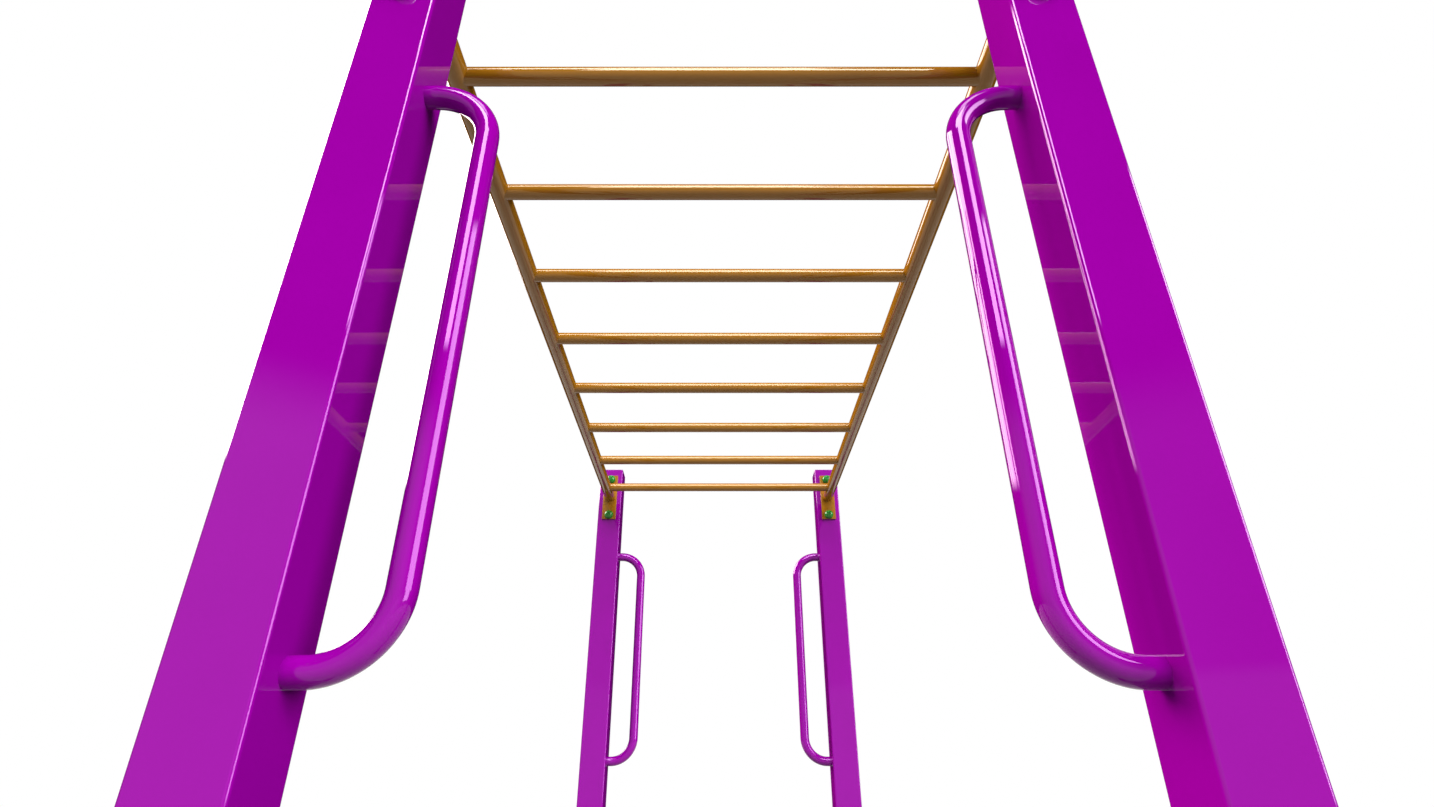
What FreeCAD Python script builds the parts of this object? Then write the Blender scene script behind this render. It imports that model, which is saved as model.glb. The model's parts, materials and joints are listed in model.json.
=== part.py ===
import FreeCAD, Part
import math
import os

import Sketcher
from FreeCAD import Placement, Rotation, Vector

# Monkey bars: a welded overhead ladder, bolted through its end flanges to four square posts.
# X runs across the ladder, Y along it and Z up. The origin is on the ground, under the middle
# of the ladder. Front is -Y and left is -X. Lengths are millimetres.

DIMENSIONS = [
    # Posts
    ("post_width", 101.6, "side of the square post tube"),
    ("post_wall", 3.2, "wall of the post tube"),
    ("post_corner", 5, "outer corner radius of the post tube"),
    ("clear_width", 900, "gap between the left and right posts"),
    ("head_room", 138, "top of the post caps above the ladder's centre"),
    # Ladder
    ("ladder_height", 2100, "centre of the rails and rungs above the ground"),
    ("rail_dia", 44.5, "outside diameter of a ladder rail"),
    ("rail_wall", 3.2, "wall of a ladder rail"),
    ("rung_count", 8, "number of rungs"),
    ("rung_pitch", 312.5, "distance from rung to rung"),
    ("rung_end_gap", 182.5, "first and last rung from the centre of the nearest post"),
    ("rung_dia", 34.9, "outside diameter of a rung"),
    ("rung_wall", 2.6, "wall of a rung"),
    # Grab handles
    ("handle_dia", 34.9, "outside diameter of a grab handle"),
    ("handle_wall", 2.6, "wall of a grab handle"),
    ("handle_reach", 102, "centre of the upright grip from the post's inner face"),
    ("handle_leg", 15, "straight part of a handle's leg, from the post to the bend"),
    ("handle_drop", 266, "centre of the upper leg below the ladder's centre"),
    ("handle_span", 834.5, "distance between the centres of the two legs"),
    # Flange plates at the ladder's corners
    ("flange_width", 62, "width of a flange plate"),
    ("flange_height", 210, "height of a flange plate"),
    ("flange_thickness", 8, "thickness of a flange plate"),
    ("bolt_pitch", 170, "distance between the two bolts of a flange plate"),
    # Through-bolts
    ("bolt_dia", 10, "diameter of a bolt"),
    ("bolt_hole_play", 1, "how much wider than the bolt its holes are"),
    ("bolt_tip", 1.5, "length of bolt that stands out of the nut"),
    ("hex_flats", 16, "width across the flats of a bolt head and of a nut"),
    ("head_height", 6.4, "height of a bolt head"),
    ("nut_height", 8.4, "height of a lock nut"),
    ("washer_dia", 20, "outside diameter of a washer"),
    ("washer_thickness", 2, "thickness of a washer"),
    ("sleeve_wall", 3, "wall of the sleeve that keeps a post from being crushed"),
    # Two-piece bolt caps
    ("dome_side_room", 1.43, "gap between a nut's top corners and the hollow of its dome"),
    ("dome_roof_room", 0.6, "gap between the end of a bolt and the roof of its dome"),
    ("dome_wall", 2.7, "wall of a dome"),
    ("dome_well_flats", 12, "width across the flats of the well in the dome's crown"),
    ("dome_well_depth", 3.5, "depth of the well below the crown"),
    ("cap_base_play", 0.3, "gap between a cap's base and its dome, all round"),
    ("cap_base_thickness", 2.5, "thickness of a cap's base"),
    # Post caps
    ("cap_rim", 6, "visible rim of a post cap"),
    ("cap_skirt_depth", 22, "how far a post cap reaches into its post"),
    ("cap_skirt_wall", 3, "wall of a post cap's skirt"),
    ("cap_skirt_play", 0.4, "gap between a post cap's skirt and the post, all round"),
    # Base plates
    ("base_width", 200, "side of a base plate"),
    ("base_thickness", 10, "thickness of a base plate"),
    ("base_corner", 12, "corner radius of a base plate"),
    ("anchor_pitch", 150, "side of the square of anchor holes"),
    ("anchor_dia", 14, "diameter of an anchor hole"),
]

# Places and sizes that several pieces share, as expressions of the driving dimensions.
POST_X = "(Dims.clear_width + Dims.post_width) / 2"
POST_Y = "((Dims.rung_count - 1) * Dims.rung_pitch / 2 + Dims.rung_end_gap)"
POST_TOP = "(Dims.ladder_height + Dims.head_room - Dims.cap_rim)"
POST_BORE = "(Dims.post_width - 2 * Dims.post_wall)"
POST_BORE_CORNER = "(Dims.post_corner - Dims.post_wall)"
HANDLE_BEND = "(Dims.handle_reach - Dims.handle_leg)"
FLANGE_BACK = f"({POST_Y} - Dims.post_width / 2)"
FLANGE_FACE = f"({FLANGE_BACK} - Dims.flange_thickness)"
OUTER_FACE = f"({POST_Y} + Dims.post_width / 2)"
BOLT_HOLE = "(Dims.bolt_dia + Dims.bolt_hole_play)"
BOLT_Z = "Dims.bolt_pitch / 2"
INNER_WASHER = f"({FLANGE_FACE} - Dims.cap_base_thickness)"
INNER_HEAD = f"({INNER_WASHER} - Dims.washer_thickness)"
OUTER_WASHER = f"({OUTER_FACE} + Dims.cap_base_thickness)"
OUTER_NUT = f"({OUTER_WASHER} + Dims.washer_thickness)"
NUT_TOP = f"({OUTER_NUT} + Dims.nut_height)"

# A dome clears the corners of its nut and the end of its bolt, measured from the dome's centre.
NUT_CORNER = "(Dims.hex_flats / 2 / cos(30 deg))"
NUT_STACK = "(Dims.cap_base_thickness + Dims.washer_thickness + Dims.nut_height)"
DOME_HOLLOW = f"(sqrt({NUT_CORNER} ^ 2 + {NUT_STACK} ^ 2) + Dims.dome_side_room)"
DOME_RADIUS = f"({DOME_HOLLOW} + Dims.dome_wall)"
DOME_CEILING = f"({NUT_STACK} + Dims.bolt_tip + Dims.dome_roof_room)"

SIDES = {"left": -1, "right": 1}
ENDS = {"front": -1, "back": 1}

doc = FreeCAD.newDocument("monkey_bars")
sheet = doc.addObject("Spreadsheet::Sheet", "Dims")
pieces = []


def fill_sheet():
    for row, (alias, value, meaning) in enumerate(DIMENSIONS, start=1):
        sheet.set(f"A{row}", meaning)
        sheet.set(f"B{row}", str(value))
        sheet.setAlias(f"B{row}", alias)
    doc.recompute()


def size(expression):
    """The present value of an expression of the driving dimensions."""
    return float(sheet.evalExpression(expression))


# Bodies and sketches


def new_body(label, x="0", y="0", z="0", turn=0):
    """An empty body whose own origin is at x, y, z, turned about Z by a number of degrees."""
    body = doc.addObject("PartDesign::Body", label)
    body.Label = label
    body.AllowCompound = True
    body.Placement = Placement(Vector(), Rotation(Vector(0, 0, 1), turn))
    for axis, expression in zip("xyz", (x, y, z)):
        body.setExpression(f"Placement.Base.{axis}", expression)
    pieces.append(body)
    return body


def origin_plane(body, role):
    return next(part for part in body.Origin.OriginFeatures if part.Role == role)


def attach(item, body, plane, across="0", up="0", out="0"):
    """Attach item to one of its body's origin planes, shifted across, up and out of the plane."""
    item.AttachmentSupport = [(origin_plane(body, plane), "")]
    item.MapMode = "FlatFace"
    for axis, expression in zip("xyz", (across, up, out)):
        item.setExpression(f"AttachmentOffset.Base.{axis}", expression)


def new_sketch(body, name, plane, out="0"):
    sketch = body.newObject("Sketcher::SketchObject", name)
    attach(sketch, body, plane, out=out)
    return sketch


def dimension(sketch, kind, items, expression):
    """Add a driving constraint and bind it to the sheet."""
    index = sketch.addConstraint(Sketcher.Constraint(kind, *items, size(expression)))
    sketch.setExpression(f"Constraints[{index}]", expression)


def relate(sketch, kind, *items):
    sketch.addConstraint(Sketcher.Constraint(kind, *items))


def add_circle(sketch, diameter, across="0", up="0"):
    """A circle whose centre is across and up from the sketch's origin."""
    centre = Vector(size(across), size(up), 0)
    circle = sketch.addGeometry(Part.Circle(centre, Vector(0, 0, 1), size(diameter) / 2))
    dimension(sketch, "Diameter", [circle], diameter)
    for kind, axis, offset in (("DistanceX", -2, across), ("DistanceY", -1, up)):
        if offset == "0":
            relate(sketch, "PointOnObject", circle, 3, axis)
        else:
            dimension(sketch, kind, [-1, 1, circle, 3], offset)


def add_rectangle(sketch, width, height):
    """A rectangle about the sketch's origin."""
    half = Vector(size(width) / 2, size(height) / 2, 0)
    corners = [Vector(sx * half.x, sy * half.y, 0) for sx, sy in ((-1, -1), (1, -1), (1, 1), (-1, 1))]
    lines = []
    for start, end in zip(corners, corners[1:] + corners[:1]):
        lines.append(sketch.addGeometry(Part.LineSegment(start, end)))
    for line, following in zip(lines, lines[1:] + lines[:1]):
        relate(sketch, "Coincident", line, 2, following, 1)
    for line, kind in zip(lines, ("Horizontal", "Vertical", "Horizontal", "Vertical")):
        relate(sketch, kind, line)
    relate(sketch, "Symmetric", lines[0], 1, lines[2], 1, -1, 1)
    dimension(sketch, "DistanceX", [lines[0], 1, lines[0], 2], width)
    dimension(sketch, "DistanceY", [lines[1], 1, lines[1], 2], height)


def add_rounded_square(sketch, side, radius):
    """A square with round corners about the sketch's origin."""
    half = size(side) / 2
    inset = half - size(radius)
    lines = []
    arcs = []
    for quarter in range(4):
        turn = Rotation(Vector(0, 0, 1), 90 * quarter)
        start = turn.multVec(Vector(-inset, -half, 0))
        end = turn.multVec(Vector(inset, -half, 0))
        lines.append(sketch.addGeometry(Part.LineSegment(start, end)))
        middle = turn.multVec(Vector(inset, -inset, 0))
        circle = Part.Circle(middle, Vector(0, 0, 1), size(radius))
        last = quarter * math.pi / 2
        arcs.append(sketch.addGeometry(Part.ArcOfCircle(circle, last - math.pi / 2, last)))
    for quarter in range(4):
        relate(sketch, "Tangent", lines[quarter], 2, arcs[quarter], 1)
        relate(sketch, "Tangent", arcs[quarter], 2, lines[(quarter + 1) % 4], 1)
    relate(sketch, "Horizontal", lines[0])
    for arc in arcs[1:]:
        relate(sketch, "Equal", arcs[0], arc)
    dimension(sketch, "Radius", [arcs[0]], radius)
    relate(sketch, "Symmetric", lines[0], 1, lines[2], 1, -1, 1)
    relate(sketch, "Symmetric", lines[1], 1, lines[3], 1, -1, 1)
    dimension(sketch, "DistanceX", [lines[3], 1, lines[1], 1], side)
    dimension(sketch, "DistanceY", [lines[0], 1, lines[2], 1], side)


def add_hexagon(sketch, flats, across, up):
    """A regular hexagon inside a construction circle."""
    middle = Vector(size(across), size(up), 0)
    corner_radius = f"{flats} / 2 / cos(30 deg)"
    radius = size(corner_radius)
    circle = sketch.addGeometry(Part.Circle(middle, Vector(0, 0, 1), radius), True)
    dimension(sketch, "Radius", [circle], corner_radius)
    dimension(sketch, "DistanceX", [-1, 1, circle, 3], across)
    dimension(sketch, "DistanceY", [-1, 1, circle, 3], up)
    corners = [middle + Rotation(Vector(0, 0, 1), 60 * turn).multVec(Vector(radius, 0, 0))
               for turn in range(6)]
    lines = []
    for start, end in zip(corners, corners[1:] + corners[:1]):
        lines.append(sketch.addGeometry(Part.LineSegment(start, end)))
    for line, following in zip(lines, lines[1:] + lines[:1]):
        relate(sketch, "Coincident", line, 2, following, 1)
        relate(sketch, "PointOnObject", line, 1, circle)
    for line in lines[1:]:
        relate(sketch, "Equal", lines[0], line)
    relate(sketch, "Horizontal", lines[1])


# Features


def pad(body, sketch, length, both_ways=False, backwards=False):
    feature = body.newObject("PartDesign::Pad", f"{sketch.Name}_pad")
    feature.Profile = sketch
    feature.Midplane = both_ways
    feature.Reversed = backwards
    feature.setExpression("Length", length)
    return feature


def cut_through(body, sketch):
    """Cut the sketch's outlines through the whole body, both ways from the sketch."""
    doc.recompute()
    before = body.Shape.Volume
    feature = body.newObject("PartDesign::Pocket", f"{sketch.Name}_cut")
    feature.Profile = sketch
    feature.Type = "ThroughAll"
    feature.Midplane = True
    doc.recompute()
    if body.Shape.Volume >= before:
        raise RuntimeError(f"{sketch.Name} removes nothing from {body.Label}")


def tube(body, plane, outside, wall, length, both_ways=False):
    """A round tube along the normal of one of the body's planes."""
    sketch = new_sketch(body, f"{body.Name}_section", plane)
    add_circle(sketch, outside)
    add_circle(sketch, f"{outside} - 2 * {wall}")
    pad(body, sketch, length, both_ways=both_ways)


def repeat_on_all_bolts(body, features, both_faces=False):
    """Mirror features from one bolt line to all eight, and from the ladder's side of the post
    to its other side where both_faces says so."""
    doc.recompute()
    pattern = body.newObject("PartDesign::MultiTransform", f"{body.Name}_pattern")
    pattern.Originals = features
    planes = [origin_plane(body, role) for role in ("XY_Plane", "YZ_Plane", "XZ_Plane")]
    if both_faces:
        middle = body.newObject("PartDesign::Plane", f"{body.Name}_middle")
        attach(middle, body, "XZ_Plane", out=f"-({FLANGE_FACE} + {OUTER_FACE}) / 2")
        planes.insert(0, middle)
    mirrors = []
    for number, plane in enumerate(planes, start=1):
        mirror = body.newObject("PartDesign::Mirrored", f"{body.Name}_mirror_{number}")
        mirror.MirrorPlane = (plane, [""])
        mirrors.append(mirror)
    pattern.Transformations = mirrors
    body.Tip = pattern


# Posts and what closes them


def make_base_plate(label, x, y):
    body = new_body(label, x, y)
    outline = new_sketch(body, f"{label}_outline", "XY_Plane")
    add_rounded_square(outline, "Dims.base_width", "Dims.base_corner")
    for across in (-1, 1):
        for up in (-1, 1):
            add_circle(outline, "Dims.anchor_dia", f"{across} * Dims.anchor_pitch / 2",
                       f"{up} * Dims.anchor_pitch / 2")
    pad(body, outline, "Dims.base_thickness")


def make_post(label, x, y):
    body = new_body(label, x, y, "Dims.base_thickness")
    section = new_sketch(body, f"{label}_section", "XY_Plane")
    add_rounded_square(section, "Dims.post_width", "Dims.post_corner")
    add_rounded_square(section, POST_BORE, POST_BORE_CORNER)
    pad(body, section, f"{POST_TOP} - Dims.base_thickness")
    holes = new_sketch(body, f"{label}_bolt_holes", "XZ_Plane")
    for side in (-1, 1):
        add_circle(holes, BOLT_HOLE,
                   up=f"Dims.ladder_height - Dims.base_thickness + {side} * {BOLT_Z}")
    cut_through(body, holes)


def make_post_cap(label, x, y):
    body = new_body(label, x, y, POST_TOP)
    rim = new_sketch(body, f"{label}_rim", "XY_Plane")
    add_rounded_square(rim, "Dims.post_width", "Dims.post_corner")
    pad(body, rim, "Dims.cap_rim")
    skirt = new_sketch(body, f"{label}_skirt", "XY_Plane")
    add_rounded_square(skirt, f"{POST_BORE} - 2 * Dims.cap_skirt_play", POST_BORE_CORNER)
    add_rounded_square(skirt, f"{POST_BORE} - 2 * Dims.cap_skirt_play - 2 * Dims.cap_skirt_wall",
                       POST_BORE_CORNER)
    pad(body, skirt, "Dims.cap_skirt_depth", backwards=True)


def make_grab_handle(label, x, y, turn):
    """A tube from the post's face out, up and back to the face, with two round bends."""
    z = "Dims.ladder_height - Dims.handle_drop - Dims.handle_span"
    body = new_body(label, x, y, z, turn)
    path = new_sketch(body, f"{label}_path", "XZ_Plane")
    reach = size("Dims.handle_reach")
    bend = size(HANDLE_BEND)
    span = size("Dims.handle_span")
    lower_circle = Part.Circle(Vector(reach - bend, bend, 0), Vector(0, 0, 1), bend)
    upper_circle = Part.Circle(Vector(reach - bend, span - bend, 0), Vector(0, 0, 1), bend)
    runs = [
        Part.LineSegment(Vector(0, 0, 0), Vector(reach - bend, 0, 0)),
        Part.ArcOfCircle(lower_circle, -math.pi / 2, 0),
        Part.LineSegment(Vector(reach, bend, 0), Vector(reach, span - bend, 0)),
        Part.ArcOfCircle(upper_circle, 0, math.pi / 2),
        Part.LineSegment(Vector(reach - bend, span, 0), Vector(0, span, 0)),
    ]
    lower_leg, lower_bend, grip, upper_bend, upper_leg = [path.addGeometry(run) for run in runs]
    relate(path, "Coincident", lower_leg, 1, -1, 1)
    relate(path, "Tangent", lower_leg, 2, lower_bend, 1)
    relate(path, "Tangent", lower_bend, 2, grip, 1)
    relate(path, "Tangent", grip, 2, upper_bend, 1)
    relate(path, "Tangent", upper_bend, 2, upper_leg, 1)
    relate(path, "Horizontal", lower_leg)
    relate(path, "Vertical", grip)
    relate(path, "Horizontal", upper_leg)
    relate(path, "PointOnObject", upper_leg, 2, -2)
    relate(path, "Equal", lower_bend, upper_bend)
    dimension(path, "Radius", [lower_bend], HANDLE_BEND)
    dimension(path, "DistanceX", [-1, 1, grip, 1], "Dims.handle_reach")
    dimension(path, "DistanceY", [-1, 1, upper_leg, 2], "Dims.handle_span")
    section = new_sketch(body, f"{label}_section", "YZ_Plane")
    add_circle(section, "Dims.handle_dia")
    add_circle(section, "Dims.handle_dia - 2 * Dims.handle_wall")
    doc.recompute()
    sweep = body.newObject("PartDesign::AdditivePipe", f"{label}_tube")
    sweep.Profile = section
    sweep.Spine = path


# Ladder


def make_rail(label, x):
    body = new_body(label, x, "0", "Dims.ladder_height")
    tube(body, "XZ_Plane", "Dims.rail_dia", "Dims.rail_wall", f"2 * {FLANGE_FACE}", both_ways=True)


def make_rung(label, y):
    """A tube from rail to rail, with ends coped to the rails' round sides."""
    body = new_body(label, "0", y, "Dims.ladder_height")
    tube(body, "YZ_Plane", "Dims.rung_dia", "Dims.rung_wall", f"2 * {POST_X}", both_ways=True)
    copes = new_sketch(body, f"{label}_copes", "XZ_Plane")
    for side in (-1, 1):
        add_circle(copes, "Dims.rail_dia", across=f"{side} * {POST_X}")
    cut_through(body, copes)


def make_flange_plate(label, x, y):
    """A plate welded across the end of a rail. Its back lies on the post, and y is its front."""
    body = new_body(label, x, y, "Dims.ladder_height")
    outline = new_sketch(body, f"{label}_outline", "XZ_Plane")
    add_rectangle(outline, "Dims.flange_width", "Dims.flange_height")
    for side in (-1, 1):
        add_circle(outline, BOLT_HOLE, up=f"{side} * {BOLT_Z}")
    pad(body, outline, "Dims.flange_thickness")


# Through-bolts and their caps, each made on the back right upper bolt line and mirrored


def bolt_line_sketch(body, name, station):
    """A sketch across the bolt line at a station along it."""
    return new_sketch(body, f"{body.Name}_{name}", "XZ_Plane", out=f"-{station}")


def make_bolts():
    body = new_body("flange_bolts", z="Dims.ladder_height")
    tip = f"({NUT_TOP} + Dims.bolt_tip)"
    shank = bolt_line_sketch(body, "shank", tip)
    add_circle(shank, "Dims.bolt_dia", POST_X, BOLT_Z)
    head = bolt_line_sketch(body, "head", INNER_HEAD)
    add_hexagon(head, "Dims.hex_flats", POST_X, BOLT_Z)
    repeat_on_all_bolts(body, [
        pad(body, shank, f"{tip} - {INNER_HEAD} + Dims.head_height / 2"),
        pad(body, head, "Dims.head_height"),
    ])


def make_lock_nuts():
    body = new_body("lock_nuts", z="Dims.ladder_height")
    outline = bolt_line_sketch(body, "outline", NUT_TOP)
    add_hexagon(outline, "Dims.hex_flats", POST_X, BOLT_Z)
    add_circle(outline, "Dims.bolt_dia", POST_X, BOLT_Z)
    repeat_on_all_bolts(body, [pad(body, outline, "Dims.nut_height")])


def make_rings(label, outside, near_end, length, both_faces=False):
    """A ring round every bolt, growing from near_end towards the ladder's middle."""
    body = new_body(label, z="Dims.ladder_height")
    outline = bolt_line_sketch(body, "outline", near_end)
    add_circle(outline, outside, POST_X, BOLT_Z)
    add_circle(outline, BOLT_HOLE, POST_X, BOLT_Z)
    repeat_on_all_bolts(body, [pad(body, outline, length)], both_faces)


def make_cap_domes():
    """Hollow half balls over both ends of every bolt, each with a six-sided well in its crown."""
    body = new_body("bolt_cap_domes", z="Dims.ladder_height")
    profile = new_sketch(body, "dome_profile", "YZ_Plane", out=POST_X)
    outside = size(DOME_RADIUS)
    inside = size(DOME_HOLLOW)
    ceiling = size(DOME_CEILING)
    middle = Vector(size(FLANGE_FACE), size(BOLT_Z), 0)
    roof_angle = math.acos(-ceiling / inside)
    outer_circle = Part.Circle(middle, Vector(0, 0, 1), outside)
    inner_circle = Part.Circle(middle, Vector(0, 0, 1), inside)
    outer = profile.addGeometry(Part.ArcOfCircle(outer_circle, math.pi / 2, math.pi))
    inner = profile.addGeometry(Part.ArcOfCircle(inner_circle, math.pi / 2, roof_angle))
    rim_out = middle + Vector(0, outside, 0)
    rim_in = middle + Vector(0, inside, 0)
    crown = middle - Vector(outside, 0, 0)
    roof = middle - Vector(ceiling, 0, 0)
    roof_edge = roof + Vector(0, inside * math.sin(roof_angle), 0)
    rim = profile.addGeometry(Part.LineSegment(rim_in, rim_out))
    axis = profile.addGeometry(Part.LineSegment(crown, roof))
    flat = profile.addGeometry(Part.LineSegment(roof, roof_edge))
    centre_line = profile.addGeometry(Part.LineSegment(crown, roof), True)
    relate(profile, "Coincident", centre_line, 1, axis, 1)
    relate(profile, "Coincident", centre_line, 2, axis, 2)
    for line, end, following, start in ((rim, 2, outer, 1), (outer, 2, axis, 1), (axis, 2, flat, 1),
                                        (flat, 2, inner, 2), (rim, 1, inner, 1), (outer, 3, inner, 3)):
        relate(profile, "Coincident", line, end, following, start)
    relate(profile, "Vertical", rim)
    relate(profile, "Vertical", flat)
    relate(profile, "Horizontal", axis)
    relate(profile, "Vertical", outer, 3, rim, 2)
    relate(profile, "Horizontal", outer, 3, axis, 1)
    dimension(profile, "Radius", [outer], DOME_RADIUS)
    dimension(profile, "Radius", [inner], DOME_HOLLOW)
    dimension(profile, "DistanceX", [axis, 2, outer, 3], DOME_CEILING)
    dimension(profile, "DistanceX", [-1, 1, outer, 3], FLANGE_FACE)
    dimension(profile, "DistanceY", [-1, 1, outer, 3], BOLT_Z)
    shell = body.newObject("PartDesign::Revolution", "dome_shell")
    shell.Profile = profile
    shell.ReferenceAxis = (profile, ["Axis0"])
    outline = bolt_line_sketch(body, "well", f"({FLANGE_FACE} - {DOME_RADIUS})")
    add_hexagon(outline, "Dims.dome_well_flats", POST_X, BOLT_Z)
    well = body.newObject("PartDesign::Pocket", "dome_well")
    well.Profile = outline
    well.setExpression("Length", "Dims.dome_well_depth")
    doc.recompute()
    if well.Shape.Volume >= shell.Shape.Volume:
        raise RuntimeError("the dome's well removes nothing")
    repeat_on_all_bolts(body, [shell, well], both_faces=True)


def make_posts_and_handles():
    for end, toward_y in ENDS.items():
        for side, toward_x in SIDES.items():
            place = f"{end}_{side}"
            x = f"{toward_x} * {POST_X}"
            y = f"{toward_y} * {POST_Y}"
            make_base_plate(f"base_plate_{place}", x, y)
            make_post(f"post_{place}", x, y)
            make_post_cap(f"post_cap_{place}", x, y)
            make_grab_handle(f"grab_handle_{place}", f"{toward_x} * Dims.clear_width / 2", y,
                             turn=0 if side == "left" else 180)
            flange_front = FLANGE_BACK if end == "back" else FLANGE_FACE
            make_flange_plate(f"flange_plate_{place}", x, f"{toward_y} * {flange_front}")


def make_ladder():
    for side, toward_x in SIDES.items():
        make_rail(f"ladder_rail_{side}", f"{toward_x} * {POST_X}")
    for number in range(1, int(size("Dims.rung_count")) + 1):
        make_rung(f"rung_{number}", f"({number} - (Dims.rung_count + 1) / 2) * Dims.rung_pitch")


def make_fasteners():
    make_bolts()
    make_lock_nuts()
    make_rings("bolt_sleeves", f"{BOLT_HOLE} + 2 * Dims.sleeve_wall",
               f"({OUTER_FACE} - Dims.post_wall)", POST_BORE)
    make_rings("bolt_washers", "Dims.washer_dia", INNER_WASHER, "Dims.washer_thickness",
               both_faces=True)
    make_rings("bolt_cap_bases", f"2 * ({DOME_HOLLOW} - Dims.cap_base_play)", FLANGE_FACE,
               "Dims.cap_base_thickness", both_faces=True)
    make_cap_domes()


def check_and_write():
    doc.recompute()
    for item in doc.Objects:
        if "Invalid" in item.State or "Error" in item.State:
            raise RuntimeError(f"{item.Label} failed: {item.State}")
    for piece in pieces:
        if piece.Shape.isNull() or not piece.Shape.isValid():
            raise RuntimeError(f"{piece.Label} has no valid shape")
    os.makedirs("parts", exist_ok=True)
    for piece in pieces:
        piece.Shape.exportStep(f"parts/{piece.Label}.step")
        print(piece.Label, "solids", len(piece.Shape.Solids), "volume", round(piece.Shape.Volume))


fill_sheet()
make_posts_and_handles()
make_ladder()
make_fasteners()
check_and_write()
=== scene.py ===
import json
import math

import bmesh
import bpy
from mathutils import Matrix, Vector


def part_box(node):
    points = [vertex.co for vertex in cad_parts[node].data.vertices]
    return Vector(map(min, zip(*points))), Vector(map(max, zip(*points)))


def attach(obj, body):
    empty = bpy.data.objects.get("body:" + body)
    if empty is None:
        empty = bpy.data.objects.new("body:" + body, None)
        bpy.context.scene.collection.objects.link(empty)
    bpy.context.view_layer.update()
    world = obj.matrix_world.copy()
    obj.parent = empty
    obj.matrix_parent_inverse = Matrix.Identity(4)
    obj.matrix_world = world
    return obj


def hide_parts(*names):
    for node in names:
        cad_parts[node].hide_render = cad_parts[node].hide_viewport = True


# Monkey bars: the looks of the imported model. Lengths are metres, +X is right, +Y is along the
# ladder away from the camera and +Z is up.

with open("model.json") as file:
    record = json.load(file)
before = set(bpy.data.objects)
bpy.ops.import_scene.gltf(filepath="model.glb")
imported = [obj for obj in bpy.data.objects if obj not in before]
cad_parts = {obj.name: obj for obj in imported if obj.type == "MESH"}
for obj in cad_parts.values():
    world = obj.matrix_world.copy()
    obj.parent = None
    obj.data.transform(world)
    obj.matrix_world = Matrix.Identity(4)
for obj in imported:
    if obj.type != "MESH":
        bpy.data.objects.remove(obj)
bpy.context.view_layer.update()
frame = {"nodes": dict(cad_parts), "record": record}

PLACES = ["front_left", "front_right", "back_left", "back_right"]
SIDES = ["left", "right"]
RUNGS = sorted(node for node in frame["nodes"] if node.startswith("rung_"))
SLOTS = {part["node"]: part["material_slot"] for part in frame["record"]["subparts"]}

# Nodes that are shown with their own CAD mesh, nearly all of it behind the domes
HARDWARE = ["flange_bolts", "lock_nuts", "bolt_washers", "bolt_sleeves", "bolt_cap_bases"]

# Sizes that a node's box doesn't give. An EDGE is the size of the round or chamfer on an edge.
POST_WALL = 0.0032
POST_CORNER = 0.005
CAP_RIM = 0.006
CAP_EDGE = 0.0012
CAP_SKIRT_INSET = 0.0036
CAP_SKIRT_WALL = 0.003
CAP_SKIRT_CORNER = 0.001
BASE_CORNER = 0.012
BASE_EDGE = 0.0010
ANCHOR_PITCH = 0.150
ANCHOR_RADIUS = 0.007
TUBE_WALL = 0.0026
RAIL_WALL = 0.0032
HANDLE_BEND = 0.087
FLANGE_EDGE = 0.0006
BOLT_PITCH = 0.170
BOLT_HOLE_RADIUS = 0.0055
DOME_RADIUS = 0.01999
DOME_HOLLOW = 0.0173
DOME_CEILING = 0.015
WELL_FLATS = 0.012
WELL_DEPTH = 0.0035
WELL_EDGE = 0.0004
WELL_FLOOR_INSET = 0.0015
CROWN_RADIUS = 0.0085

# How far a welded end goes into what it is welded to
WELD_OVERLAP = 0.0006

# Steps round a full turn, or along a quarter turn
ROUND_STEPS = 96
HANDLE_STEPS = 64
HOLE_STEPS = 48
CORNER_STEPS = 12
EDGE_STEPS = 4
BEND_STEPS = 30
DOME_STEPS = 96
CROWN_STEPS = 20
HOLLOW_STEPS = 8

# A crease sharper than this, in degrees, shows as an edge
SHARP_ANGLE = 35


# Outlines: lists of (across, up) points, counter-clockwise


def circle(radius, steps=ROUND_STEPS):
    return [(radius * math.cos(math.tau * i / steps), radius * math.sin(math.tau * i / steps))
            for i in range(steps)]


def rounded_box(width, height, radius, steps=CORNER_STEPS):
    points = []
    for quarter, (x_side, y_side) in enumerate(((1, 1), (-1, 1), (-1, -1), (1, -1))):
        x = x_side * (width / 2 - radius)
        y = y_side * (height / 2 - radius)
        for step in range(steps + 1):
            angle = math.pi / 2 * (quarter + step / steps)
            points.append((x + radius * math.cos(angle), y + radius * math.sin(angle)))
    return points


# Mesh building


def add_ring(bm, points):
    return [bm.verts.new(point) for point in points]


def bridge(bm, first, second):
    for i in range(len(first)):
        j = (i + 1) % len(first)
        bm.faces.new((first[i], first[j], second[j], second[i]))


def loft(bm, rings, closed=False):
    """Quads between rings with the same number of points. closed joins the last to the first."""
    rings = [add_ring(bm, ring) for ring in rings]
    for first, second in zip(rings, rings[1:]):
        bridge(bm, first, second)
    if closed:
        bridge(bm, rings[-1], rings[0])
    return rings


def fill(bm, rings):
    """A flat face inside the first ring and outside the others."""
    edges = []
    for ring in rings:
        edges += [bm.edges.get((ring[i], ring[(i + 1) % len(ring)])) for i in range(len(ring))]
    bmesh.ops.triangle_fill(bm, use_beauty=True, use_dissolve=False, edges=edges)


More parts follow.
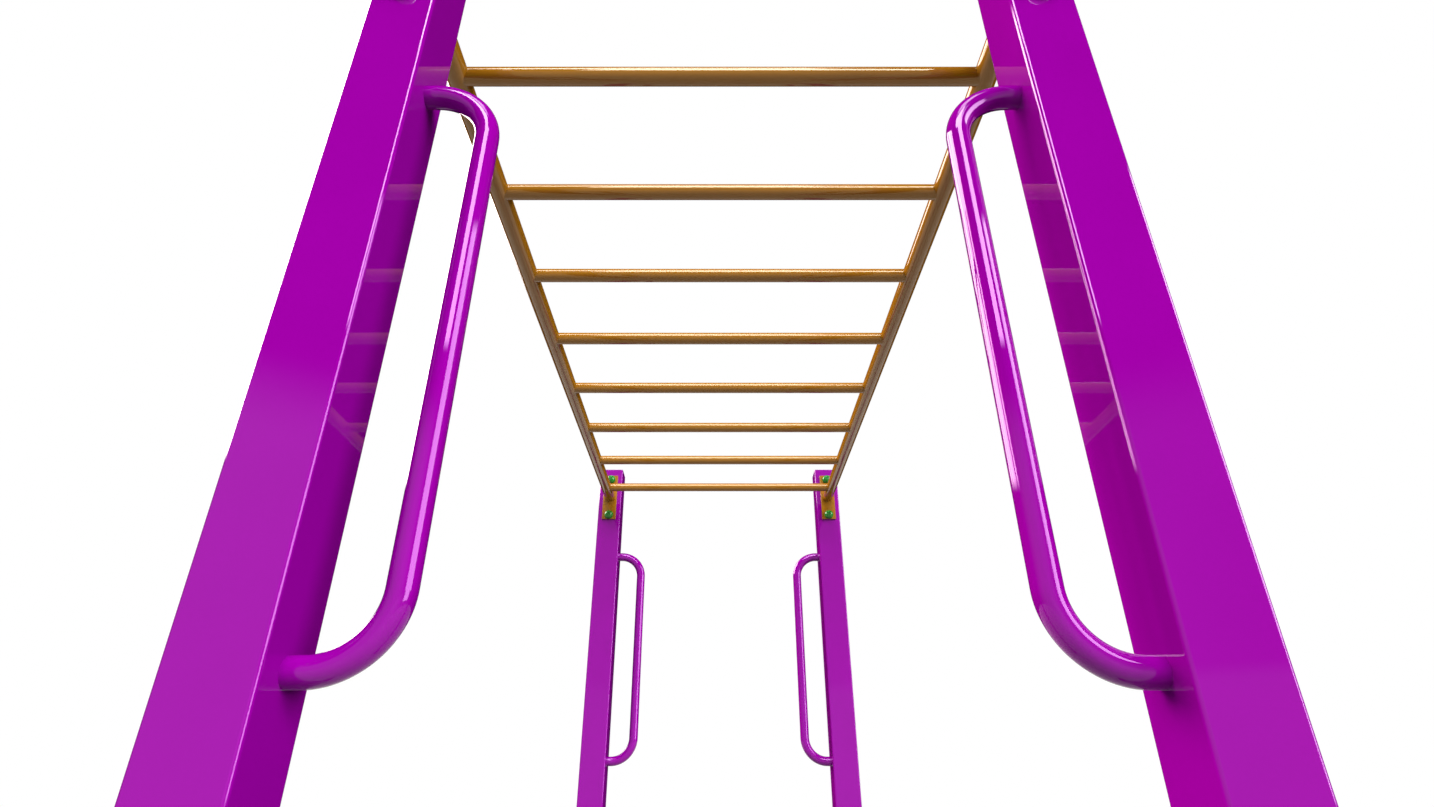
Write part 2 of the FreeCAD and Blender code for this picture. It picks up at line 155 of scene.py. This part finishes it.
def add_piece(name, bm, node):
    """A shown piece in place of a CAD node, with the finish of the node's material slot."""
    bmesh.ops.recalc_face_normals(bm, faces=bm.faces)
    mesh = bpy.data.meshes.new(name)
    bm.to_mesh(mesh)
    bm.free()
    mesh.shade_smooth()
    mesh.set_sharp_from_angle(angle=math.radians(SHARP_ANGLE))
    piece = bpy.data.objects.new(name, mesh)
    bpy.context.scene.collection.objects.link(piece)
    normals = piece.modifiers.new("even_shading", "WEIGHTED_NORMAL")
    normals.keep_sharp = True
    slot = SLOTS[node]
    mesh.materials.append(MATERIALS[slot])
    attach(piece, "root")
    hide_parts(node)


def middle_of(node):
    low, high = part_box(node)
    return (low + high) / 2


def size_of(node):
    low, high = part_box(node)
    return high - low


# Pieces


def make_post(place):
    node = f"post_{place}"
    low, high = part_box(node)
    middle = middle_of(node)
    width = size_of(node).x
    outer = rounded_box(width, width, POST_CORNER)
    inner = rounded_box(width - 2 * POST_WALL, width - 2 * POST_WALL, POST_CORNER - POST_WALL)
    bm = bmesh.new()
    rings = [[(middle.x + x, middle.y + y, z) for x, y in outline]
             for outline, z in ((outer, low.z), (outer, high.z), (inner, high.z), (inner, low.z))]
    loft(bm, rings, closed=True)
    add_piece(f"{node}_tube", bm, node)


def make_post_cap(place):
    """A lid with a hollow skirt: from the lid's underside down, round the skirt and over the top."""
    node = f"post_cap_{place}"
    low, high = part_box(node)
    middle = middle_of(node)
    width = size_of(node).x
    seat = high.z - CAP_RIM
    skirt = width - 2 * CAP_SKIRT_INSET
    bore = skirt - 2 * CAP_SKIRT_WALL
    stations = [(bore, seat), (bore, low.z), (skirt, low.z), (skirt, seat), (width, seat)]
    for step in range(EDGE_STEPS + 1):
        angle = math.pi / 2 * step / EDGE_STEPS
        inset = CAP_EDGE * (1 - math.cos(angle))
        stations.append((width - 2 * inset, high.z - CAP_EDGE * (1 - math.sin(angle))))
    bm = bmesh.new()
    rings = []
    for side, z in stations:
        radius = max(CAP_SKIRT_CORNER, POST_CORNER - (width - side) / 2)
        rings.append([(middle.x + x, middle.y + y, z) for x, y in rounded_box(side, side, radius)])
    rings = loft(bm, rings)
    bm.faces.new(rings[0])
    bm.faces.new(rings[-1])
    add_piece(f"{node}_lid", bm, node)


def plate(bm, outline, holes, edge, thickness, point):
    """A plate with chamfered edges and round holes. outline gives its outline at an inset, and
    point puts a place on the plate, and a depth into it, in the frame."""
    levels = [(edge, 0.0), (0.0, edge), (0.0, thickness - edge), (edge, thickness)]
    rings = loft(bm, [[point(x, y, depth) for x, y in outline(inset)] for inset, depth in levels])
    ends = [[rings[0]], [rings[-1]]]
    for across, up, radius in holes:
        bore = [[point(across + x, up + y, depth) for x, y in circle(radius, HOLE_STEPS)]
                for depth in (0.0, thickness)]
        bore = loft(bm, bore)
        ends[0].append(bore[0])
        ends[1].append(bore[1])
    for end in ends:
        fill(bm, end)


def make_base_plate(place):
    node = f"base_plate_{place}"
    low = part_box(node)[0]
    middle = middle_of(node)
    size = size_of(node)
    half = ANCHOR_PITCH / 2
    holes = [(x, y, ANCHOR_RADIUS) for x in (-half, half) for y in (-half, half)]

    def outline(inset):
        return rounded_box(size.x - 2 * inset, size.y - 2 * inset, BASE_CORNER - inset)

    def point(x, y, up):
        return middle.x + x, middle.y + y, low.z + up

    bm = bmesh.new()
    plate(bm, outline, holes, BASE_EDGE, size.z, point)
    add_piece(f"{node}_steel", bm, node)


def make_flange_plate(place):
    node = f"flange_plate_{place}"
    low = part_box(node)[0]
    middle = middle_of(node)
    size = size_of(node)
    corner = 2 * FLANGE_EDGE
    holes = [(0.0, side * BOLT_PITCH / 2, BOLT_HOLE_RADIUS) for side in (-1, 1)]

    def outline(inset):
        return rounded_box(size.x - 2 * inset, size.z - 2 * inset, corner - inset, EDGE_STEPS)

    def point(x, z, back):
        return middle.x + x, low.y + back, middle.z + z

    bm = bmesh.new()
    plate(bm, outline, holes, FLANGE_EDGE, size.y, point)
    add_piece(f"{node}_steel", bm, node)


def make_rail(side):
    node = f"ladder_rail_{side}"
    low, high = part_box(node)
    middle = middle_of(node)
    radius = size_of(node).x / 2
    bore = radius - RAIL_WALL
    front = low.y - WELD_OVERLAP
    back = high.y + WELD_OVERLAP
    stations = [(radius, front), (radius, back), (bore, back), (bore, front)]
    bm = bmesh.new()
    rings = [[(middle.x + x, y, middle.z + z) for x, z in circle(r)] for r, y in stations]
    loft(bm, rings, closed=True)
    add_piece(f"{node}_tube", bm, node)


def make_rung(node):
    """A tube whose ends follow the round sides of the rails."""
    middle = middle_of(node)
    radius = size_of(node).y / 2
    bm = bmesh.new()
    rings = []
    for r, sides in ((radius, SIDES), (radius - TUBE_WALL, SIDES[::-1])):
        for side in sides:
            rail = f"ladder_rail_{side}"
            rail_middle = middle_of(rail)
            rail_radius = size_of(rail).x / 2
            inward = 1 if side == "left" else -1
            ring = []
            for y, z in circle(r):
                reach = math.sqrt(rail_radius ** 2 - z ** 2) - WELD_OVERLAP
                ring.append((rail_middle.x + inward * reach, middle.y + y, middle.z + z))
            rings.append(ring)
    loft(bm, rings, closed=True)
    add_piece(f"{node}_tube", bm, node)


def handle_path(reach, span):
    """Stations of (out, up, direction) along a handle: leg, bend, grip, bend, leg."""
    stations = [(-WELD_OVERLAP, 0.0, 0.0)]
    for quarter, up in ((0, HANDLE_BEND), (1, span - HANDLE_BEND)):
        for step in range(BEND_STEPS + 1):
            angle = math.pi / 2 * (quarter + step / BEND_STEPS)
            stations.append((reach - HANDLE_BEND + HANDLE_BEND * math.sin(angle),
                             up - HANDLE_BEND * math.cos(angle), angle))
    stations.append((-WELD_OVERLAP, span, math.pi))
    return stations


def make_grab_handle(place):
    node = f"grab_handle_{place}"
    low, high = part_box(node)
    radius = size_of(node).y / 2
    outward = 1 if place.endswith("left") else -1
    face = low.x if outward > 0 else high.x
    y_middle = middle_of(node).y
    stations = handle_path(size_of(node).x - radius, size_of(node).z - 2 * radius)
    bm = bmesh.new()
    rings = []
    for r, path in ((radius, stations), (radius - TUBE_WALL, stations[::-1])):
        for out, up, angle in path:
            ring = []
            for across, y in circle(r, HANDLE_STEPS):
                x = out - across * math.sin(angle)
                z = up + across * math.cos(angle)
                ring.append((face + outward * x, y_middle + y, low.z + radius + z))
            rings.append(ring)
    loft(bm, rings, closed=True)
    add_piece(f"{node}_tube", bm, node)


def hex_radius(angle, flats):
    """From the middle of a hexagon, this far across its flats, to its outline at an angle."""
    return flats / 2 / math.cos(angle % (math.pi / 3) - math.pi / 6)


def arc(radius, start, end, steps):
    """Points (radius from the axis, height) on a ball, from one latitude to another."""
    latitudes = [start + (end - start) * step / steps for step in range(steps + 1)]
    return [(radius * math.cos(latitude), radius * math.sin(latitude)) for latitude in latitudes]


def dome_section(angle):
    """Points (radius, height) of a dome's section at an angle round its axis: from the well's
    floor over the crown to the rim, and up the hollow to its flat roof."""
    well = hex_radius(angle, WELL_FLATS)
    floor = DOME_RADIUS - WELL_DEPTH
    points = [(well - WELL_FLOOR_INSET, floor), (well - WELL_EDGE, floor),
              (well - WELL_EDGE / 4, floor + WELL_EDGE / 4), (well, floor + WELL_EDGE)]
    for grow, drop in ((0, 1), (1 / 4, 3 / 8), (1, 0)):
        radius = well + grow * WELL_EDGE
        points.append((radius, math.sqrt(DOME_RADIUS ** 2 - radius ** 2) - drop * WELL_EDGE))
    points += arc(DOME_RADIUS, math.acos(CROWN_RADIUS / DOME_RADIUS), 0.0, CROWN_STEPS)
    points += arc(DOME_HOLLOW, 0.0, math.asin(DOME_CEILING / DOME_HOLLOW), HOLLOW_STEPS)
    return points


def add_dome(bm, centre, outward):
    """A hollow half ball with a six-sided well, whose crown points along outward on Y."""
    angles = [math.tau * i / DOME_STEPS for i in range(DOME_STEPS)]
    rings = []
    for points in zip(*[dome_section(angle) for angle in angles]):
        rings.append([(centre.x + radius * math.cos(angle), centre.y + outward * height,
                       centre.z + radius * math.sin(angle))
                      for angle, (radius, height) in zip(angles, points)])
    rings = loft(bm, rings)
    bm.faces.new(rings[0])
    bm.faces.new(rings[-1])


def make_domes():
    rail_z = middle_of("ladder_rail_left").z
    bm = bmesh.new()
    for place in PLACES:
        post_low, post_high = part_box(f"post_{place}")
        plate_low, plate_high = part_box(f"flange_plate_{place}")
        x = middle_of(f"post_{place}").x
        if place.startswith("front"):
            seats = ((post_low.y, -1), (plate_high.y, 1))
        else:
            seats = ((plate_low.y, -1), (post_high.y, 1))
        for y, outward in seats:
            for side in (-1, 1):
                add_dome(bm, Vector((x, y, rail_z + side * BOLT_PITCH / 2)), outward)
    add_piece("bolt_cap_domes_green", bm, "bolt_cap_domes")


# Materials


def new_material(name):
    material = bpy.data.materials.new(name)
    material.use_nodes = True
    tree = material.node_tree
    return material, tree, tree.nodes["Principled BSDF"]


def noise(tree, scale, detail):
    """Noise in the object's own coordinates, with scale in features per metre."""
    coordinates = tree.nodes.new("ShaderNodeTexCoord")
    texture = tree.nodes.new("ShaderNodeTexNoise")
    texture.inputs["Scale"].default_value = scale
    texture.inputs["Detail"].default_value = detail
    tree.links.new(coordinates.outputs["Object"], texture.inputs["Vector"])
    return texture.outputs["Fac"]


def remap(tree, value, low, high):
    """Map noise, which mostly stays between a quarter and three quarters, to low and high."""
    node = tree.nodes.new("ShaderNodeMapRange")
    node.inputs["From Min"].default_value = 0.25
    node.inputs["From Max"].default_value = 0.75
    node.inputs["To Min"].default_value = low
    node.inputs["To Max"].default_value = high
    tree.links.new(value, node.inputs["Value"])
    return node.outputs["Result"]


def vary_colour(tree, shader, colour, amount, value):
    """The base colour, darker and lighter by a share of itself as the noise value changes."""
    mix = tree.nodes.new("ShaderNodeMix")
    mix.data_type = "RGBA"
    mix.inputs["A"].default_value = [c * (1 - amount) for c in colour] + [1]
    mix.inputs["B"].default_value = [c * (1 + amount) for c in colour] + [1]
    tree.links.new(remap(tree, value, 0, 1), mix.inputs["Factor"])
    tree.links.new(mix.outputs["Result"], shader.inputs["Base Color"])


def vary_roughness(tree, shader, low, high, value):
    tree.links.new(remap(tree, value, low, high), shader.inputs["Roughness"])


def add_bump(tree, shader, depth, strength, value):
    bump = tree.nodes.new("ShaderNodeBump")
    bump.inputs["Strength"].default_value = strength
    bump.inputs["Distance"].default_value = depth
    tree.links.new(value, bump.inputs["Height"])
    tree.links.new(bump.outputs["Normal"], shader.inputs["Normal"])


def powder_coat(name, colour, tint, roughness):
    """Glossy powder coat: orange peel about 2 mm across, and faint drifts of colour and gloss."""
    material, tree, shader = new_material(name)
    vary_colour(tree, shader, colour, 0.03, noise(tree, scale=7.0, detail=4.0))
    vary_roughness(tree, shader, 0.85 * roughness, 1.15 * roughness, noise(tree, scale=60.0, detail=3.0))
    add_bump(tree, shader, 0.000002, 0.04, noise(tree, scale=450.0, detail=1.0))
    shader.inputs["Specular Tint"].default_value = (*tint, 1)
    shader.inputs["IOR"].default_value = 1.5
    return material


def zinc_plate(name, colour):
    """Bright zinc: small spangles that differ in tone and gloss, over a fine grain."""
    material, tree, shader = new_material(name)
    vary_colour(tree, shader, colour, 0.08, noise(tree, scale=120.0, detail=4.0))
    vary_roughness(tree, shader, 0.22, 0.42, noise(tree, scale=400.0, detail=3.0))
    add_bump(tree, shader, 0.00002, 0.4, noise(tree, scale=900.0, detail=2.0))
    shader.inputs["Metallic"].default_value = 1.0
    return material


def moulded_nylon(name, colour):
    """Moulded nylon: a fine mould texture and slight drifts of colour and gloss."""
    material, tree, shader = new_material(name)
    vary_colour(tree, shader, colour, 0.08, noise(tree, scale=150.0, detail=3.0))
    vary_roughness(tree, shader, 0.16, 0.26, noise(tree, scale=500.0, detail=2.0))
    add_bump(tree, shader, 0.00002, 0.3, noise(tree, scale=1500.0, detail=2.0))
    shader.inputs["IOR"].default_value = 1.42
    return material


def pale_floor():
    material, tree, shader = new_material("floor_pale")
    vary_colour(tree, shader, (0.34, 0.34, 0.34), 0.01, noise(tree, scale=3.0, detail=3.0))
    shader.inputs["Roughness"].default_value = 0.9
    return material


MATERIALS = {
    "purple_coat": powder_coat("purple_coat", colour=(0.186, 0.0002, 0.206),
                               tint=(0.85, 0.42, 0.95), roughness=0.022),
    "ochre_coat": powder_coat("ochre_coat", colour=(0.245, 0.100, 0.005),
                              tint=(1.0, 0.85, 0.6), roughness=0.022),
    "zinc_steel": zinc_plate("zinc_steel", colour=(0.60, 0.61, 0.62)),
    "green_nylon": moulded_nylon("green_nylon", colour=(0.005, 0.15, 0.008)),
}


# Studio: a pale floor, soft panels of light all round and white behind for the camera


def calc(tree, operation, *values):
    """A maths node on numbers and other nodes' outputs."""
    node = tree.nodes.new("ShaderNodeMath")
    node.operation = operation
    for socket, value in zip(node.inputs, values):
        if isinstance(value, (int, float)):
            socket.default_value = value
        else:
            tree.links.new(value, socket)
    return node.outputs["Value"]


def ease(tree, value, start, end):
    """Rises smoothly from 0 at start to 1 at end."""
    node = tree.nodes.new("ShaderNodeMapRange")
    node.interpolation_type = "SMOOTHSTEP"
    node.inputs["From Min"].default_value = start
    node.inputs["From Max"].default_value = end
    tree.links.new(value, node.inputs["Value"])
    return node.outputs["Result"]


NEUTRAL = (1.0, 1.0, 1.0)
WARM = (1.16, 1.0, 0.93)

# Light panels: (bearing from behind the camera towards the right, half width, lowest and highest
# elevation, softness of the sides, softness of the top and bottom), in degrees, brightness, colour
PANELS = [
    (6, 17, 29.5, 48, 0.6, 0.6, 18.5, NEUTRAL),
    (-8, 20, 48, 59, 1.5, 0.6, 20.0, NEUTRAL),
    (0, 28, 62, 78, 6, 2.0, 6.0, NEUTRAL),
    (62, 20, 8, 38, 0.6, 0.6, 11.4, NEUTRAL),
    (60, 13, -0.5, 8, 0.6, 0.6, 11.4, NEUTRAL),
    (-100, 24, 19.5, 50, 0.6, 0.6, 17.2, WARM),
    (-136, 11.5, 19.5, 50, 0.6, 0.6, 9.0, WARM),
    (-22, 47, -7, 24, 30, 3.0, 0.8, NEUTRAL),
    (35, 45, -7, 6.5, 20, 0.6, 0.35, NEUTRAL),
]

# Light from all round, and more from below a horizon. The drop is its angle below level in
# degrees, and the softness is in radians.
SKY_GLOW = 0.004
FLOOR_GLOW = 0.36
HORIZON_DROP = 4.0
HORIZON_SOFTNESS = 0.01

FLOOR_RADIUS = 14.0
FLOOR_STEPS = 96


def scale_colour(tree, colour, amount):
    node = tree.nodes.new("ShaderNodeVectorMath")
    node.operation = "SCALE"
    node.inputs["Vector"].default_value = colour
    tree.links.new(amount, node.inputs["Scale"])
    return node.outputs["Vector"]


def add_colours(tree, first, second):
    node = tree.nodes.new("ShaderNodeVectorMath")
    node.operation = "ADD"
    tree.links.new(first, node.inputs[0])
    tree.links.new(second, node.inputs[1])
    return node.outputs["Vector"]


def panel_light(tree, azimuth, elevation, panel):
    *angles, brightness, colour = panel
    bearing, half_width, lowest, highest, side_soft, end_soft = map(math.radians, angles)
    turn = calc(tree, "WRAP", calc(tree, "SUBTRACT", azimuth, bearing), math.pi, -math.pi)
    away = calc(tree, "ABSOLUTE", turn)
    inside = ease(tree, away, half_width + side_soft, half_width - side_soft)
    above = ease(tree, elevation, lowest - end_soft, lowest + end_soft)
    below = ease(tree, elevation, highest + end_soft, highest - end_soft)
    mask = calc(tree, "MULTIPLY", calc(tree, "MULTIPLY", inside, above), below)
    return scale_colour(tree, colour, calc(tree, "MULTIPLY", mask, brightness))


def make_world():
    """The panels and glows light the object. The camera itself sees plain white."""
    world = bpy.data.worlds.new("studio")
    bpy.context.scene.world = world
    world.use_nodes = True
    tree = world.node_tree
    background = tree.nodes["Background"]
    coordinates = tree.nodes.new("ShaderNodeTexCoord")
    axes = tree.nodes.new("ShaderNodeSeparateXYZ")
    tree.links.new(coordinates.outputs["Generated"], axes.inputs["Vector"])
    x, y, z = axes.outputs
    elevation = calc(tree, "ARCSINE", z)
    azimuth = calc(tree, "ARCTAN2", x, calc(tree, "MULTIPLY", y, -1.0))
    horizon = -math.radians(HORIZON_DROP)
    below = ease(tree, elevation, horizon + HORIZON_SOFTNESS, horizon - HORIZON_SOFTNESS)
    light = scale_colour(tree, NEUTRAL, calc(tree, "MULTIPLY_ADD", below, FLOOR_GLOW, SKY_GLOW))
    for panel in PANELS:
        light = add_colours(tree, light, panel_light(tree, azimuth, elevation, panel))
    rays = tree.nodes.new("ShaderNodeLightPath")
    mix = tree.nodes.new("ShaderNodeMix")
    mix.data_type = "RGBA"
    tree.links.new(rays.outputs["Is Camera Ray"], mix.inputs["Factor"])
    tree.links.new(light, mix.inputs["A"])
    mix.inputs["B"].default_value = (1, 1, 1, 1)
    tree.links.new(mix.outputs["Result"], background.inputs["Color"])


def make_floor():
    """A floor that shows in the picture and in reflections. FLOOR_GLOW stands in for the light
    that it would throw up."""
    bm = bmesh.new()
    bmesh.ops.create_circle(bm, cap_ends=True, radius=FLOOR_RADIUS, segments=FLOOR_STEPS)
    mesh = bpy.data.meshes.new("floor")
    bm.to_mesh(mesh)
    bm.free()
    mesh.materials.append(pale_floor())
    floor = bpy.data.objects.new("floor", mesh)
    floor.visible_diffuse = False
    floor.visible_shadow = False
    bpy.context.scene.collection.objects.link(floor)


# Camera: low down before the front posts, tilted up along the ladder. The tilt is in degrees, the
# lens and sensor are in millimetres.
CAMERA_BEFORE_POSTS = 0.773
CAMERA_BELOW_RAILS = 1.210
CAMERA_LEFT_OF_MIDDLE = 0.0085
CAMERA_TILT = 27.03
SENSOR_WIDTH = 36.0
LENS = 19.12


def make_camera():
    data = bpy.data.cameras.new("camera")
    data.sensor_width = SENSOR_WIDTH
    data.lens = LENS
    camera = bpy.data.objects.new("camera", data)
    bpy.context.scene.collection.objects.link(camera)
    camera.location = (-CAMERA_LEFT_OF_MIDDLE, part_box("post_front_left")[0].y - CAMERA_BEFORE_POSTS,
                       middle_of("ladder_rail_left").z - CAMERA_BELOW_RAILS)
    camera.rotation_euler = (math.radians(90 + CAMERA_TILT), 0, 0)
    bpy.context.scene.camera = camera


for place in PLACES:
    make_post(place)
    make_post_cap(place)
    make_base_plate(place)
    make_flange_plate(place)
    make_grab_handle(place)
for side in SIDES:
    make_rail(side)
for rung in RUNGS:
    make_rung(rung)
make_domes()
for node in HARDWARE:
    part = frame["nodes"][node]
    part.data.materials.clear()
    part.data.materials.append(MATERIALS[SLOTS[node]])
make_world()
make_floor()
make_camera()
bpy.context.scene.view_settings.view_transform = "Standard"
